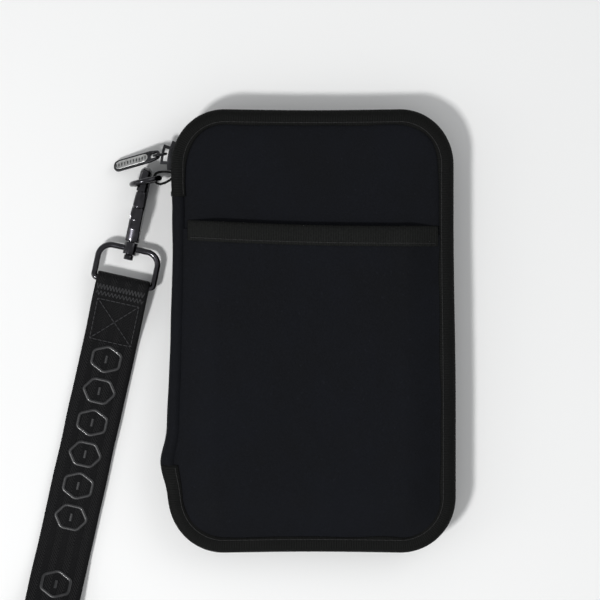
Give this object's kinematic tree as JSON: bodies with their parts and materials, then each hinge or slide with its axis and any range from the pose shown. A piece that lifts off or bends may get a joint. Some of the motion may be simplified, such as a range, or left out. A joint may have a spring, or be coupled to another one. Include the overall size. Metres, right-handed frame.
{
  "type": "zippered pouch",
  "caption": "Flat zip-around document pouch with an open front slip pocket, a fabric spine, and a webbing wrist strap on a swivel snap hook.",
  "frame": {"origin": "middle of the back face, which lies on the table", "axes": "+X across the pouch away from its spine, +Y up the pouch, +Z out of its front"},
  "size_m": [0.206, 0.2584, 0.0258],
  "materials": {
    "foam_cloth": "matte knit-faced foam cloth",
    "binding_tape": "ribbed woven tape",
    "zipper_tape": "herringbone zipper tape",
    "zipper_coil": "satin nylon coil",
    "lining": "fine plain weave",
    "mesh": "open hexagonal mesh",
    "elastic": "ribbed elastic tape",
    "zipper_metal": "black enamel",
    "pull_metal": "polished black nickel",
    "dark_metal": "gunmetal plating",
    "spring_steel": "bright drawn wire",
    "webbing": "herringbone webbing with raised motif"
  },
  "bodies": {
    "back_half": {"back_panel": "foam_cloth", "back_binding": "binding_tape", "back_zipper_tape": "zipper_tape", "back_zipper_coil": "zipper_coil", "zipper_stops": "zipper_coil", "tape_end_tabs": "binding_tape", "back_lining": "lining", "inner_slip_pocket": "lining", "card_slot_1": "lining", "card_slot_2": "lining", "card_slot_3": "lining"},
    "spine": {"spine_panel": "foam_cloth", "spine_lining": "lining"},
    "front_half": {"front_panel": "foam_cloth", "front_binding": "binding_tape", "front_zipper_tape": "zipper_tape", "front_zipper_coil": "zipper_coil", "front_lining": "lining", "inner_mesh_pocket": "mesh", "mesh_pocket_elastic": "elastic", "front_pocket": "foam_cloth", "pocket_mouth_binding": "binding_tape"},
    "slider": {"zipper_slider": "zipper_metal"},
    "slider_link": {"slider_link": "zipper_metal"},
    "pull_tab": {"pull_tab": "pull_metal"},
    "fabric_loop": {"fabric_loop": "binding_tape"},
    "o_ring": {"o_ring": "dark_metal"},
    "hook": {"hook_body": "dark_metal", "gate_pin": "dark_metal", "gate_spring": "spring_steel", "swivel_post": "dark_metal"},
    "hook_gate": {"hook_gate": "dark_metal"},
    "strap_ring": {"strap_ring": "dark_metal"},
    "wrist_strap": {"strap_webbing": "webbing"}
  },
  "joints": [
    {"name": "spine_fold", "type": "hinge", "parent": "back_half", "child": "spine", "pos_m": [-0.0665, 0, 0], "axis": [0, -1, 0], "range_deg": [0, 16]},
    {"name": "cover_fold", "type": "hinge", "parent": "spine", "child": "front_half", "pos_m": [-0.0665, 0, 0.02], "axis": [0, -1, 0], "range_deg": [0, 150]},
    {"name": "slider_run", "type": "hinge", "parent": "back_half", "child": "slider", "pos_m": [-0.0405, 0.0765, 0.01], "axis": [0, 0, -1], "range_deg": [0, 68]},
    {"name": "link_swing", "type": "hinge", "parent": "slider", "child": "slider_link", "pos_m": [-0.06948, 0.08203, 0.01], "axis": [0, 0, -1], "range_deg": [0, 25]},
    {"name": "tab_lift", "type": "hinge", "parent": "slider_link", "child": "pull_tab", "pos_m": [-0.07347, 0.08138, 0.01], "axis": [-0.2588, 0.9659, 0], "range_deg": [0, 35]},
    {"name": "loop_twist", "type": "hinge", "parent": "back_half", "child": "fabric_loop", "pos_m": [-0.07086, 0.07094, 0.0102], "axis": [0.9759, 0.2181, 0], "range_deg": [-45, 0]},
    {"name": "ring_swing", "type": "hinge", "parent": "fabric_loop", "child": "o_ring", "pos_m": [-0.07086, 0.07094, 0.0102], "axis": [0, 0, -1], "range_deg": [-4, 4]},
    {"name": "hook_swing", "type": "hinge", "parent": "o_ring", "child": "hook", "pos_m": [-0.0773, 0.0695, 0.008], "axis": [0.9759, 0.2181, 0], "range_deg": [-12, 0]},
    {"name": "gate_press", "type": "hinge", "parent": "hook", "child": "hook_gate", "pos_m": [-0.08158, 0.05297, 0.0106], "axis": [-0.9781, 0.2079, 0], "range_deg": [0, 22], "stiffness_Nm_per_rad": 0.004, "deforming": ["gate_spring"]},
    {"name": "ring_swivel", "type": "hinge", "parent": "hook", "child": "strap_ring", "pos_m": [-0.0847, 0.0383, 0.006], "axis": [0.2079, 0.9781, 0], "continuous": true},
    {"name": "strap_fold", "type": "hinge", "parent": "strap_ring", "child": "wrist_strap", "pos_m": [-0.08807, 0.02245, 0.006], "axis": [0.9781, -0.2079, 0], "range_deg": [-100, 0]}
  ]
}
